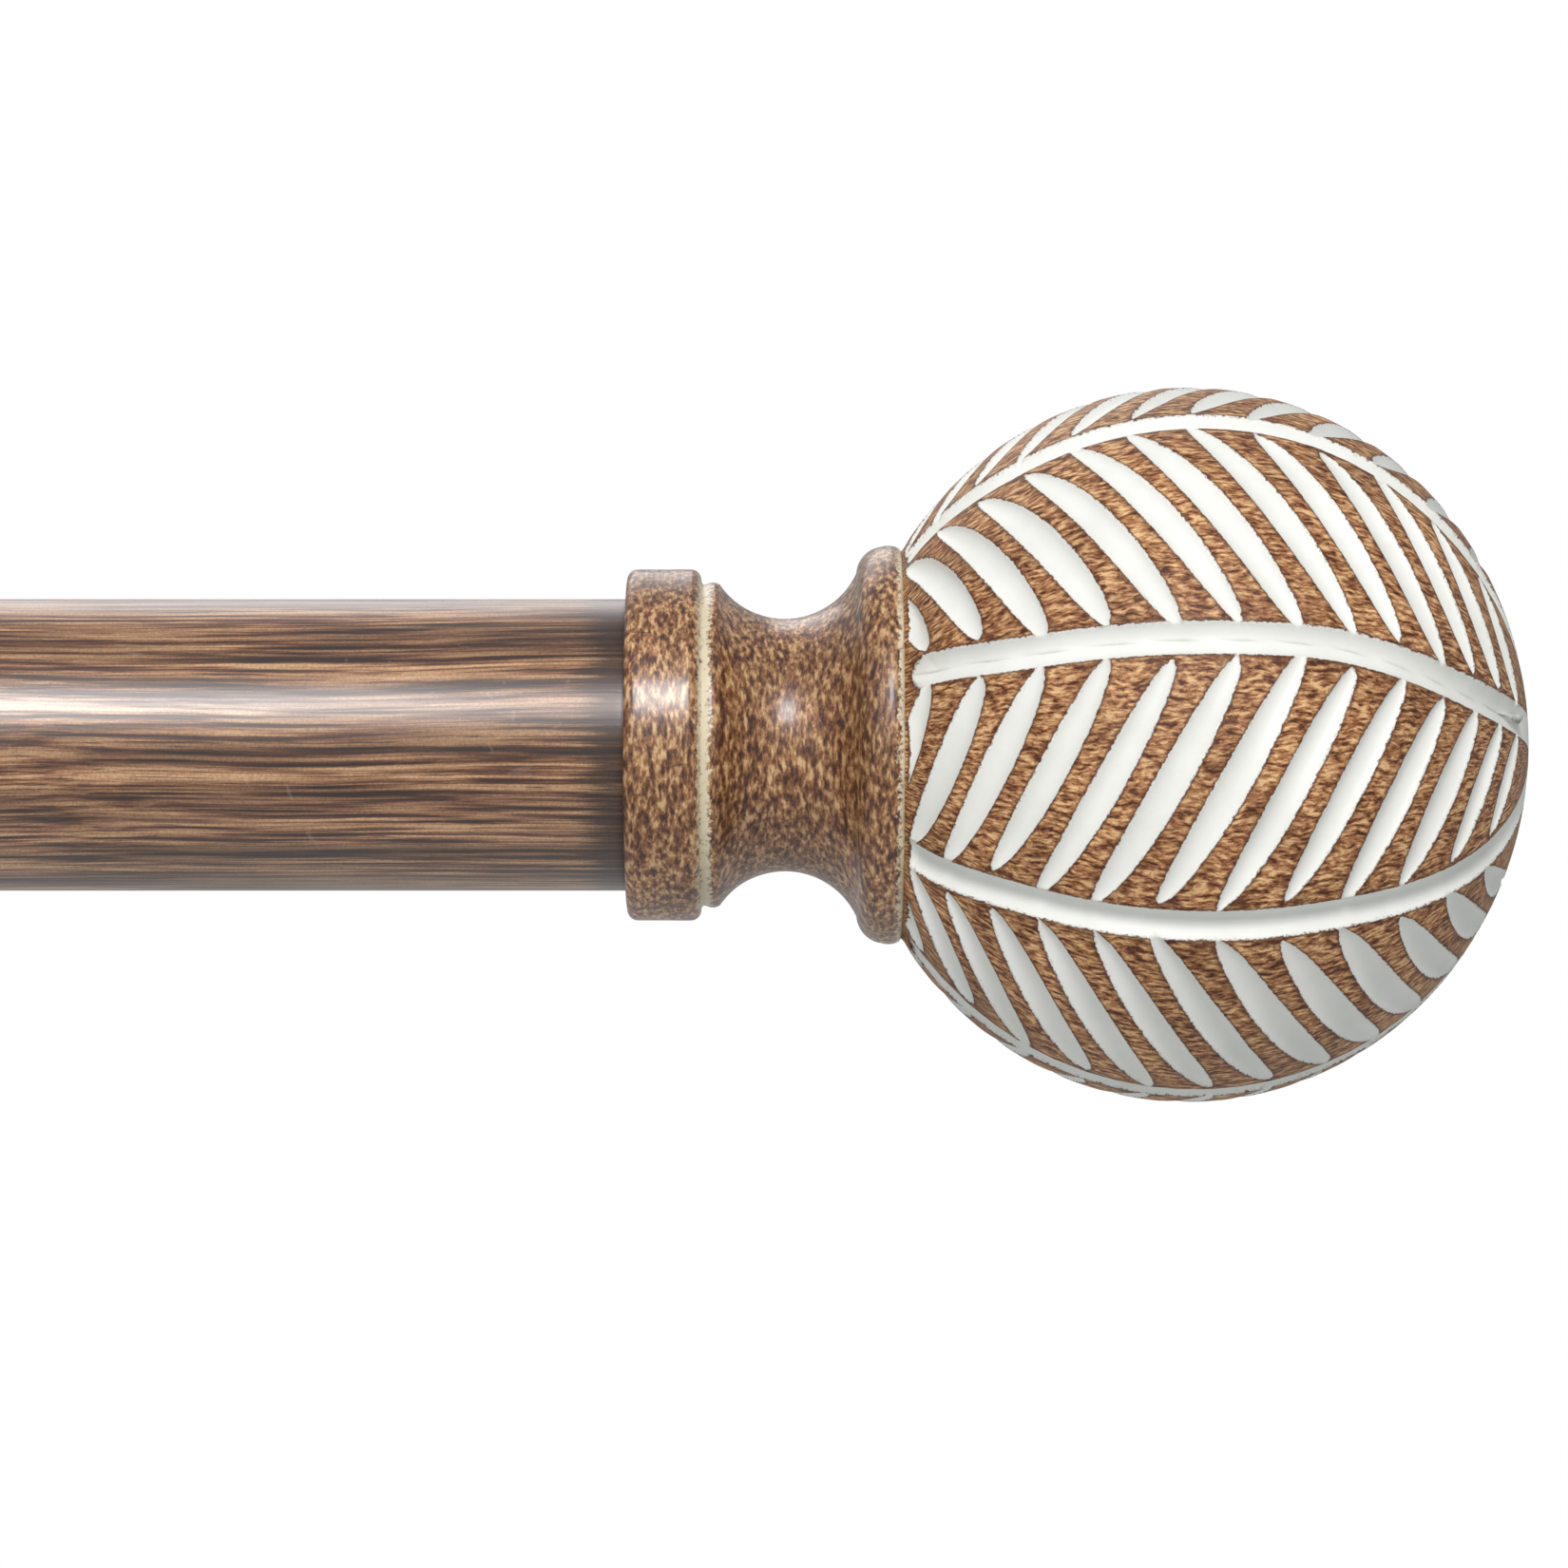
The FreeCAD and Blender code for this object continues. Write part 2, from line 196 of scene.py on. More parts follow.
def colours(tree, factor, stops):
    """A ramp of colours, given as (place, red, green, blue)."""
    made = tree.nodes.new("ShaderNodeValToRGB")
    elements = made.color_ramp.elements
    while len(elements) < len(stops):
        elements.new(0.5)
    for element, (place, *colour) in zip(elements, stops):
        element.position = place
        element.color = (*colour, 1)
    tree.links.new(factor, made.inputs[0])
    return made.outputs[0]


def noise_pattern(tree, place, scale, detail=3.0, rough=0.5, bend=0.0):
    """Soft noise over a place, 0 to 1."""
    values = {"Vector": place, "Scale": scale, "Detail": detail, "Roughness": rough, "Distortion": bend}
    return node(tree, "TexNoise", values)[0]


def stretched(tree, place, scale):
    """A place scaled along X, Y and Z, for patterns longer one way than another."""
    return node(tree, "VectorMath", {0: place, 1: scale}, operation="MULTIPLY")[0]


def new_group(name, inputs, outputs):
    """A node group with named sockets, its inputs and its outputs."""
    group = bpy.data.node_groups.new(name, "ShaderNodeTree")
    for socket, kind in inputs.items():
        group.interface.new_socket(name=socket, in_out="INPUT", socket_type="NodeSocket" + kind)
    for socket, kind in outputs.items():
        group.interface.new_socket(name=socket, in_out="OUTPUT", socket_type="NodeSocket" + kind)
    return group, group.nodes.new("NodeGroupInput").outputs, group.nodes.new("NodeGroupOutput").inputs


def grouped(tree, group, **inputs):
    """Places a node group in a material, and gives its outputs."""
    return node(tree, "Group", inputs, node_tree=group)


def new_material(name, **values):
    """A material whose shader takes these values, its node tree and its shader's inputs."""
    material = bpy.data.materials.new(name)
    material.use_nodes = True
    shader = material.node_tree.nodes["Principled BSDF"]
    for key, value in values.items():
        shader.inputs[key.replace("_", " ")].default_value = value
    return material, material.node_tree, shader.inputs


def relief(tree, height, strength, depth):
    """A bump whose height is a pattern, this deep."""
    return node(tree, "Bump", {"Height": height, "Strength": strength, "Distance": depth})[0]


# Brush streaks: long thin lines beside each other, with broader bands of light and dark
streaks, given, result = new_group(
    "streaks",
    {"Place": "Vector", "Scale": "Vector"},
    {"Fine": "Float", "Broad": "Float", "Pores": "Float"},
)
lines = stretched(streaks, given["Place"], given["Scale"])
streaks.links.new(noise_pattern(streaks, lines, 1.0, 5.0, 0.62), result["Fine"])
bands = stretched(streaks, lines, (0.5, 0.16, 0.16))
streaks.links.new(noise_pattern(streaks, bands, 1.0, 2.0, 0.5), result["Broad"])
dashes = stretched(streaks, lines, (3.2, 2.1, 2.1))
pores = rescale(streaks, noise_pattern(streaks, dashes, 1.0, 2.0, 0.5), 0.36, 0.29)
streaks.links.new(pores, result["Pores"])

# Wear: soft patches, fine specks, and hair scratches that cross each other at a slant
wear, given, result = new_group(
    "wear",
    {"Place": "Vector", "Size": "Float"},
    {"Patches": "Float", "Specks": "Float", "Scratches": "Float"},
)
place = given["Place"]
wear.links.new(noise_pattern(wear, place, given["Size"], 4.0, 0.6), result["Patches"])
speck_size = work(wear, "MULTIPLY", given["Size"], 22.0)
specks = rescale(wear, noise_pattern(wear, place, speck_size, 2.0, 0.6), 0.6, 0.72)
wear.links.new(specks, result["Specks"])
scratches = None
for lean, turn, stretch in ((0.25, 0.1, (30, 1500, 1500)), (-0.5, 0.35, (1700, 1700, 40))):
    leaning = node(wear, "Mapping", {"Vector": place, "Rotation": (lean, turn, lean)})[0]
    hair = noise_pattern(wear, stretched(wear, leaning, stretch), 1.0, 0.0)
    hair = rescale(wear, hair, 0.80, 0.83)
    scratches = hair if scratches is None else work(wear, "MAXIMUM", scratches, hair)
wear.links.new(scratches, result["Scratches"])

collar_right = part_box("right_finial")[0].x
collar_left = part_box("left_finial")[1].x
collar_shade_start = 5.5 * MM  # the painted shade by each collar starts this far off, and is full this near
collar_shade_full = 1.2 * MM
pore_brown = (0.028, 0.011, 0.006, 1)
scuffed_wrap = (0.62, 0.47, 0.36, 1)
# The colour of the painted shade by each collar, where the tube goes into the socket
painted_shade_brown = (0.018, 0.007, 0.005, 1)

faux_wood, tree, shader = new_material("faux wood wrap", Coat_Roughness=0.33, Specular_IOR_Level=0.75)
at = node(tree, "TexCoord")["Object"]
sway = node(tree, "TexNoise", {"Vector": at, "Scale": 22.0, "Detail": 1.0})["Color"]
sway = stretched(tree, sway, (0.0, 0.0024, 0.0024))
swaying = node(tree, "VectorMath", {0: at, 1: sway}, operation="ADD")[0]
grain = grouped(tree, streaks, Place=swaying, Scale=(46, 2300, 2300))
tone = colours(
    tree,
    grain["Fine"],
    [
        (0.38, 0.032, 0.011, 0.006),
        (0.45, 0.125, 0.049, 0.022),
        (0.52, 0.330, 0.170, 0.082),
        (0.61, 0.580, 0.370, 0.200),
    ],
)
shade = colours(tree, grain["Broad"], [(0.36, 0.42, 0.37, 0.34), (0.56, 1.02, 1.0, 1.0)])
tone = blend(tree, 1.0, tone, shade, "MULTIPLY")
tone = blend(tree, work(tree, "MULTIPLY", grain["Pores"], 0.75), tone, pore_brown)
worn = grouped(tree, wear, Place=at, Size=70.0)
tone = blend(tree, work(tree, "MULTIPLY", worn["Scratches"], 0.12), tone, scuffed_wrap)
print_dots = noise_pattern(tree, at, 4200.0, 2.0, 0.7)
flecks = colours(tree, print_dots, [(0.3, 0.72, 0.68, 0.66), (0.7, 1.22, 1.2, 1.2)])
tone = blend(tree, 1.0, tone, flecks, "MULTIPLY")
at_x = node(tree, "SeparateXYZ", {0: at})[0]
# Painted shade: the wrap darkens over the last few millimetres before each collar, where the tube goes
# into the collar's socket. Its edge is ragged along the grain.
painted_collar_shade = work(
    tree,
    "MAXIMUM",
    rescale(tree, at_x, collar_right - collar_shade_start, collar_right - collar_shade_full),
    rescale(tree, at_x, collar_left + collar_shade_start, collar_left + collar_shade_full),
)
feathered = rescale(tree, grain["Fine"], 0.3, 0.7, 0.5, -0.5)
painted_collar_shade = rescale(tree, work(tree, "ADD", painted_collar_shade, feathered), 0.2, 0.75)
tone = blend(tree, work(tree, "MULTIPLY", painted_collar_shade, 0.8), tone, painted_shade_brown)
tree.links.new(tone, shader["Base Color"])
tree.links.new(rescale(tree, grain["Fine"], 0.35, 0.65, 0.36, 0.27), shader["Roughness"])
tree.links.new(rescale(tree, worn["Patches"], 0.3, 0.7, 0.45, 0.8), shader["Coat Weight"])
tree.links.new(relief(tree, grain["Fine"], 0.35, 0.05 * MM), shader["Normal"])
for piece in (outer_tube, inner_tube, adaptor):
    piece.data.materials.append(faux_wood)


def moulded_plastic(name, wear_size, shades, scratch, smoothest, roughest):
    """Moulded plastic, with soft clouding between two shades, hair scratches and a fine sandy face."""
    material, tree, shader = new_material(name)
    at = node(tree, "TexCoord")["Object"]
    worn = grouped(tree, wear, Place=at, Size=wear_size)
    tone = blend(tree, worn["Scratches"], colours(tree, worn["Patches"], shades), scratch)
    tree.links.new(tone, shader["Base Color"])
    tree.links.new(rescale(tree, worn["Patches"], 0.3, 0.7, smoothest, roughest), shader["Roughness"])
    tree.links.new(relief(tree, worn["Specks"], 0.3, 0.02 * MM), shader["Normal"])
    return material


brown_shades = [(0.35, 0.060, 0.032, 0.020), (0.65, 0.095, 0.052, 0.032)]
brown_scratch = (0.18, 0.11, 0.075, 1)
brown_plastic = moulded_plastic("brown plastic", 160.0, brown_shades, brown_scratch, 0.38, 0.52)
mouth_bush.data.materials.append(brown_plastic)


def finish_nodes(material, *names):
    """Gives CAD nodes a material."""
    for name in names:
        for material_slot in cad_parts[name].material_slots:
            material_slot.material = material


finish_nodes(brown_plastic, "right_tube_plug", "left_tube_plug", "inner_tube_glide")

# --------------------------------------
# Finials
#
# Each end has a ball turned in wood on a coved neck. Eight rib grooves are carved in the ball from
# its neck to its tip, with gouged leaf veins between them. The wood is stained and dry-brushed,
# the cuts are filled with cream paint, and the collar takes the tube's end in its socket.
# --------------------------------------

finial_low, finial_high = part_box("right_finial")
finial_length = finial_high.x - finial_low.x
ball_width = 31.05 * MM  # half the ball, across the rod
ball_depth = 29.55 * MM  # half the ball, along the rod
ball_middle = finial_length - ball_depth  # from the collar's face
ball_edge = math.radians(147.2)  # where the ball meets the bead, from the outer pole
ball_tail = 14 * MM  # the ball goes on inside the neck down to this radius
ball_merge = 0.004 * MM  # the carving's corners nearer than this become one

rib_count = 8
rib_step = 2 * math.pi / rib_count
first_rib = math.radians(16)
rib_half = 1.4 * MM
rib_cut = 1.05 * MM
vein_step = math.radians(10)
first_vein = math.radians(29)
vein_count = 13
vein_cut = 0.72 * MM
vein_length = 25 * MM
pole_button = math.radians(5.5)
cuts_start = 0.1 * MM  # from the bead, where the cuts start
cuts_full = 1.1 * MM  # and where they have their full depth
paint_start = 0.45 * MM
# Spans in degrees from the pole: where the ribs lean, where they flare, and where they grow deep
lean_span = (75, 22)
flare_span = (115, 148)
deep_span = (9, 35)
slant_span = (-1.9, -0.5)  # in vein numbers, above the first vein
leaf_fullness = 0.46
leaf_bow = 0.22
leaf_jag = 0.012


def smooth(low, high, x):
    """0 below low, 1 above high, and a smooth rise between."""
    t = min(max((x - low) / (high - low), 0), 1)
    return t * t * (3 - 2 * t)


carver = random.Random(11)
rib_lean = [carver.uniform(-2.5, 2.5) for _ in range(rib_count)]
rib_flare = [carver.uniform(-3, 3) for _ in range(rib_count)]
rib_slant = [(-1) ** (k + 1) * carver.uniform(0.2, 0.25) for k in range(rib_count)]
rib_lean[0], rib_flare[0] = -6.0, 3.0
rib_lean[1], rib_flare[1] = -5.0, 5.0
rib_lean[-1], rib_flare[-1] = -3.5, -3.0
veins = [
    [
        {
            "shift": carver.uniform(-0.03, 0.03),
            "half": carver.uniform(0.29, 0.34) - (0.03 if k == rib_count - 1 else 0),
            "low": carver.uniform(0.035, 0.085),
            "high": carver.uniform(0.915, 0.965),
            "cut": carver.uniform(0.85, 1.15),
        }
        for n in range(vein_count)
    ]
    for k in range(rib_count)
]


def rib_angle(k, polar):
    """The angle round the rod of rib groove k, which wanders as it nears the pole or the neck."""
    wander = rib_lean[k % rib_count] * smooth(*lean_span, math.degrees(polar))
    wander += rib_flare[k % rib_count] * smooth(*flare_span, math.degrees(polar)) ** 1.5
    return first_rib + k * rib_step + math.radians(wander)


def rib_spread(polar):
    """Half the angle that a rib groove takes up, round the rod."""
    return min(rib_half / (ball_width * max(math.sin(polar), 0.05)), 0.3 * rib_step)


def vein_polar(w, k, across):
    """The angle from the pole of the slanting line that runs through sector k at vein number w."""
    slant = rib_slant[k] + (rib_slant[(k + 1) % rib_count] - rib_slant[k]) * across
    slant *= smooth(*slant_span, w)
    middle = first_vein + vein_step * w
    return 2 * math.atan(math.tan(middle / 2) * math.exp(slant))


def vein_edges(n, k, across):
    """Where vein n's two edges lie, as vein numbers, and how far along the vein this is, 0 to 1."""
    vein = veins[k][n]
    along = (across - vein["low"]) / (vein["high"] - vein["low"])
    inside = min(max(along, 0), 1)
    leaf = (4 * inside * (1 - inside)) ** leaf_fullness
    jag = leaf_jag * noise.noise(Vector((n * 3.7, k * 5.1, across * 9)))
    half = max(vein["half"] * leaf + jag * leaf, 0.02)
    middle = n + vein["shift"] - leaf_bow * vein["half"] * leaf
    return middle - half, middle + half, along


def carving(polar, turn, w, k, across):
    """How deep the carving is here, and how far inside a cut's edge in mm (or outside, if below 0)."""
    row_height = ball_width * vein_step * 0.9
    best_depth, best_inside = 0.0, -1.0
    for n in {math.floor(w), math.ceil(w)}:
        if not 0 <= n < vein_count:
            continue
        low, high, along = vein_edges(n, k, across)
        inside = min(w - low, high - w) * row_height
        tip = min(along, 1 - along) * vein_length * max(math.sin(polar), 0.4)
        inside = min(inside, tip)
        if inside > 0:
            v = (2 * w - low - high) / (high - low)
            leaf = (4 * along * (1 - along)) ** 0.5
            depth = vein_cut * veins[k][n]["cut"] * leaf * (1 - v * v) ** 0.8
            best_depth = max(best_depth, depth)
        best_inside = max(best_inside, inside / MM)
    for rib in (k, k + 1):
        spread = rib_spread(polar)
        away = abs(turn - rib_angle(rib, polar)) / spread
        inside = (1 - away) * spread * ball_width * math.sin(polar)
        if away < 1:
            depth = rib_cut * smooth(*deep_span, math.degrees(polar)) * (1 - away * away) ** 0.85
            best_depth = max(best_depth, depth)
        best_inside = max(best_inside, inside / MM)
    margin = (ball_edge - polar) * ball_width
    best_depth *= smooth(cuts_start, cuts_full, margin)
    best_inside = min(best_inside, (margin - paint_start) / MM)
    if polar < pole_button:
        best_inside = max(best_inside, (pole_button - polar) * ball_width / MM)
    return best_depth, best_inside


collar_faces = {"right": (collar_right, 1), "left": (collar_left, -1)}


def finial_place(side, along, across, turn):
    """A point of a finial: along it from the collar's face, across from the axis, and round it."""
    face, outward = collar_faces[side]
    return Vector((face + outward * along, rod_y - across * math.cos(turn), across * math.sin(turn)))


rib_columns = [0, 0.22, 0.45, 0.7, 0.9, 1, 1.12]
ridge_columns = 21
vein_rows = [-1, -0.88, -0.6, -0.22, 0.22, 0.6, 0.88, 1]
edge_row = 0.035
pole_rows = [-2.86 + 0.215 * i for i in range(11)]


def column_places():
    """The columns of the ball's mesh, as (sector, kind, value)."""
    columns = []
    for k in range(rib_count):
        columns += [(k, "low rib", v) for v in rib_columns]
        columns += [(k, "ridge", (i + 1) / (ridge_columns + 1)) for i in range(ridge_columns)]
        columns += [(k, "high rib", v) for v in reversed(rib_columns[1:])]
    return columns + [(rib_count - 1, "high rib", 0)]


def row_places():
    """The rows of the ball's mesh, as (kind, vein number, value), from the pole to the neck."""
    rows = [("plain", 0, v) for v in pole_rows]
    for n in range(vein_count):
        rows.append(("plain", n, -0.5))
        rows.append(("ridge", n, -1))
        rows += [("groove", n, v) for v in vein_rows]
        rows.append(("ridge", n, 1))
    return rows + [("plain", vein_count, -0.5), ("plain", vein_count, -0.2)]


def ball_vertex(row, column):
    """Where a vertex of the carved ball goes: the polar angle, the turn, the cut and the inside."""
    k, kind, value = column
    spread = rib_spread(math.pi / 2)
    clear = rib_columns[-1] * spread / rib_step
    across = {
        "low rib": value * spread / rib_step,
        "high rib": 1 - value * spread / rib_step,
        "ridge": clear + (1 - 2 * clear) * value,
    }[kind]
    row_kind, n, v = row
    if row_kind == "plain":
        w = n + v
    else:
        low, high, _ = vein_edges(n, k, across)
        w = (low + high) / 2 + v * (high - low) / 2
        w += edge_row * v if row_kind == "ridge" else 0
    polar = min(vein_polar(w, k, across), ball_edge)
    spread = rib_spread(polar)
    low_rib, high_rib = rib_angle(k, polar), rib_angle(k + 1, polar)
    if kind == "low rib":
        turn = low_rib + value * spread
    elif kind == "high rib":
        turn = high_rib - value * spread
    else:
        clear = rib_columns[-1] * spread
        turn = low_rib + clear + (high_rib - low_rib - 2 * clear) * value
    cut, inside = carving(polar, turn, w, k, across)
    return polar, turn, cut, inside


def verts_in(geometry):
    """The vertices among what an operator gives back."""
    return [g for g in geometry if isinstance(g, bmesh.types.BMVert)]


def edges_in(geometry):
    """The edges among what an operator gives back."""
    return [g for g in geometry if isinstance(g, bmesh.types.BMEdge)]


def carved_ball(side):
    """The carved ball: a grid wrapped round from the pole to the neck, with its rows along the veins."""
    columns, rows = column_places(), row_places()
    bm = bmesh.new()
    bmesh.ops.create_grid(bm, x_segments=len(columns) - 1, y_segments=len(rows) - 1, size=1)
    inside_layer = bm.verts.layers.float.new("inside_cut")
    grain_layer = bm.verts.layers.float_vector.new("grain")
    pole_ring, neck_ring = [], []
    for vert in bm.verts:
        column = columns[round((vert.co.x + 1) / 2 * (len(columns) - 1))]
        row_number = round((vert.co.y + 1) / 2 * (len(rows) - 1))
        polar, turn, cut, inside = ball_vertex(rows[row_number], column)
        across = (ball_width - cut) * math.sin(polar)
        along = ball_middle + (ball_depth - cut) * math.cos(polar)
        vert.co = finial_place(side, along, across, turn)
        vert[inside_layer] = inside
        vert[grain_layer] = ball_width * Vector((polar, math.cos(turn), math.sin(turn)))
        if row_number == 0:
            pole_ring.append(vert)
        if row_number == len(rows) - 1:
            neck_ring.append(vert)
    tip = finial_place(side, finial_length, 0, 0)
    bmesh.ops.pointmerge(bm, verts=pole_ring, merge_co=tip)
    bmesh.ops.remove_doubles(bm, verts=bm.verts, dist=ball_merge)
    rim = [e for e in bm.edges if e.is_boundary]
    tail = bmesh.ops.extrude_edge_only(bm, edges=rim)["geom"]
    for vert in verts_in(tail):
        off = Vector((0, vert.co.y - rod_y, vert.co.z))
        vert.co -= off * (1 - ball_tail / off.length)
    bmesh.ops.contextual_create(bm, geom=[e for e in edges_in(tail) if e.is_boundary])
    return finished(bm, f"{side}_finial_ball", sharp_angle=180)


def arc(start, through, end, count):
    """Points along the arc from start through a middle point to end, without its start."""
    (ax, ay), (bx, by), (cx, cy) = start, through, end
    d = 2 * (ax * (by - cy) + bx * (cy - ay) + cx * (ay - by))
    aa, bb, cc = ax * ax + ay * ay, bx * bx + by * by, cx * cx + cy * cy
    ux = (aa * (by - cy) + bb * (cy - ay) + cc * (ay - by)) / d
    uy = (aa * (cx - bx) + bb * (ax - cx) + cc * (bx - ax)) / d
    radius = math.hypot(ax - ux, ay - uy)
    first = math.atan2(ay - uy, ax - ux)
    middle = (math.atan2(by - uy, bx - ux) - first) % (2 * math.pi)
    sweep = (math.atan2(cy - uy, cx - ux) - first) % (2 * math.pi)
    if middle > sweep:
        sweep -= 2 * math.pi
    turns = [first + sweep * i / count for i in range(1, count + 1)]
    return [(ux + radius * math.cos(t), uy + radius * math.sin(t)) for t in turns]


# The neck's outline in millimetres, as (distance from the collar's face, radius). The cream lines are
# where paint is left in a corner, as (distance from the collar's face, half the line's width).
neck_outline = [(4, 4.05), (4, 12.9), (0, 12.9), (0, 14.45)]
neck_outline += arc((0, 14.45), (0.26, 15.09), (0.9, 15.35), 5)
neck_outline += [(1.6, 15.35), (3.2, 15.33), (4.8, 15.35), (5.5, 15.35)]
neck_outline += arc((5.5, 15.35), (6.14, 15.09), (6.4, 14.45), 5)
neck_outline += [(6.42, 14.22), (6.62, 14.02), (6.85, 14.08), (7.2, 14.2), (7.6, 14.2)]
neck_outline += [(8.0, 14.05)]
neck_outline += arc((8.0, 14.05), (13.8, 11.05), (19.9, 15.0), 28)
neck_outline += arc((19.9, 15.0), (20.8, 16.75), (22.1, 17.3), 12)
neck_outline += arc((22.1, 17.3), (22.9, 17.38), (23.6, 17.15), 6)
neck_outline += [(23.75, 16.9), (23.85, 16.6), (24.3, 16.4), (24.6, 14.2), (24.6, 4.05)]
cream_lines = [(6.8, 0.62), (23.9, 0.7)]
neck_dents = 0.05 * MM
dents_per_metre = 260
collar_length = 6  # in millimetres, like the outline
smooth_radius = 13.5 * MM  # the collar's socket has no dents, and lies nearer the axis than this
bare_radius = 10 * MM  # no paint lies nearer the axis than this


def in_metres(outline):
    """An outline that is given in millimetres."""
    return [(along * MM, radius * MM) for along, radius in outline]


def turned_neck(side):
    """The neck with its collar and bead, with the small dents of a hand-finished turning."""
    face, outward = collar_faces[side]
    bm = turned(in_metres(neck_outline), on_rod(face), X * outward, steps=160)
    inside_layer = bm.verts.layers.float.new("inside_cut")
    for vert in bm.verts:
        along = (vert.co.x - face) * outward / MM
        off = Vector((0, vert.co.y - rod_y, vert.co.z))
        wave = noise.noise(vert.co * dents_per_metre) * neck_dents
        if off.length > smooth_radius or along > collar_length:
            vert.co += off.normalized() * (wave - neck_dents)
        inside_line = max(half - abs(along - middle) for middle, half in cream_lines)
        vert[inside_layer] = inside_line if off.length > bare_radius else -1
    return finished(bm, f"{side}_finial_neck", sharp_angle=45)


balls, necks = [], []
for side in collar_faces:
    balls.append(carved_ball(side))
    necks.append(turned_neck(side))
    for piece in (balls[-1], necks[-1]):
        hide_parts(f"{side}_finial")
        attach(piece, f"{side}_finial_body")

wood_pore = (0.060, 0.018, 0.007, 1)
burnt_edge = (0.085, 0.026, 0.010, 1)
rubbed_paint = (0.40, 0.24, 0.12, 1)

carved_wood, tree, shader = new_material("carved wood", Specular_IOR_Level=0.35)
at = node(tree, "TexCoord")["Object"]
along_grain = node(tree, "Attribute", attribute_name="grain")["Vector"]
inside = node(tree, "Attribute", attribute_name="inside_cut")["Fac"]
curl = node(tree, "TexNoise", {"Vector": at, "Scale": 300.0, "Detail": 2.0})["Color"]
curl = stretched(tree, curl, (0.0012, 0.0012, 0.0012))
curled = node(tree, "VectorMath", {0: along_grain, 1: curl}, operation="ADD")[0]
rasp = grouped(tree, streaks, Place=curled, Scale=(800, 2700, 2700))
worn = grouped(tree, wear, Place=at, Size=120.0)
wood = colours(
    tree,
    rasp["Fine"],
    [
        (0.38, 0.065, 0.020, 0.008),
        (0.45, 0.235, 0.098, 0.040),
        (0.53, 0.450, 0.238, 0.110),
        (0.62, 0.740, 0.520, 0.280),
    ],
)
shade = colours(tree, worn["Patches"], [(0.36, 0.84, 0.77, 0.70), (0.62, 1.17, 1.11, 1.03)])
wood = blend(tree, 1.0, wood, shade, "MULTIPLY")
wood = blend(tree, work(tree, "MULTIPLY", rasp["Pores"], 0.6), wood, wood_pore)
ragged = noise_pattern(tree, at, 2400.0, 3.0, 0.65)
ragged_inside = work(tree, "ADD", inside, rescale(tree, ragged, 0.3, 0.7, -0.10, 0.10))
dark_edge = rescale(tree, ragged_inside, -0.30, -0.08, 0.0, 0.85)
wood = blend(tree, dark_edge, wood, burnt_edge)
paint = colours(tree, worn["Patches"], [(0.35, 0.80, 0.83, 0.79), (0.60, 0.87, 0.892, 0.858)])
near_edge = rescale(tree, ragged_inside, 0.32, 0.05)
crumbs = work(tree, "MULTIPLY", near_edge, rescale(tree, ragged, 0.56, 0.66))
paint = blend(tree, work(tree, "MULTIPLY", crumbs, 0.55), paint, rubbed_paint)
painted = rescale(tree, ragged_inside, -0.06, 0.04)
tree.links.new(blend(tree, painted, wood, paint), shader["Base Color"])
tree.links.new(rescale(tree, painted, 0, 1, 0.5, 0.42), shader["Roughness"])
ridge_height = work(tree, "MULTIPLY", rasp["Fine"], work(tree, "SUBTRACT", 1.0, painted))
tree.links.new(relief(tree, ridge_height, 0.7, 0.14 * MM), shader["Normal"])
for piece in balls:
    piece.data.materials.append(carved_wood)

old_cream = (0.74, 0.68, 0.50, 1)
dark_scratch = (0.045, 0.016, 0.008, 1)

brushed_wood, tree, shader = new_material("brushed wood", Coat_Roughness=0.22)
at = node(tree, "TexCoord")["Object"]
inside = node(tree, "Attribute", attribute_name="inside_cut")["Fac"]
worn = grouped(tree, wear, Place=at, Size=90.0)
strokes = grouped(tree, streaks, Place=at, Scale=(2400, 1300, 900))
wood = colours(
    tree,
    strokes["Fine"],
    [
        (0.37, 0.045, 0.014, 0.006),
        (0.46, 0.180, 0.070, 0.026),
        (0.53, 0.360, 0.180, 0.074),
        (0.64, 0.700, 0.500, 0.270),
    ],
)
shade = colours(tree, worn["Patches"], [(0.36, 0.66, 0.60, 0.54), (0.62, 1.05, 1.0, 0.94)])
wood = blend(tree, 1.0, wood, shade, "MULTIPLY")
ragged = noise_pattern(tree, at, 2200.0, 3.0, 0.7)
ragged_inside = work(tree, "ADD", inside, rescale(tree, ragged, 0.3, 0.7, -0.5, 0.35))
wood = blend(tree, rescale(tree, ragged_inside, -0.1, 0.25), wood, old_cream)
wood = blend(tree, work(tree, "MULTIPLY", worn["Scratches"], 0.6), wood, dark_scratch)
tree.links.new(wood, shader["Base Color"])
tree.links.new(rescale(tree, strokes["Fine"], 0.35, 0.65, 0.5, 0.38), shader["Roughness"])
tree.links.new(rescale(tree, worn["Patches"], 0.3, 0.7, 0.5, 0.9), shader["Coat Weight"])
tree.links.new(relief(tree, strokes["Fine"], 0.35, 0.05 * MM), shader["Normal"])
for piece in necks:
    piece.data.materials.append(brushed_wood)

# --------------------------------------
# Finial studs and plug inserts
#
# A zinc-plated threaded stud is fixed in each finial and screws into a steel insert, which is
# pressed into the plastic plug in the tube's end.
# --------------------------------------


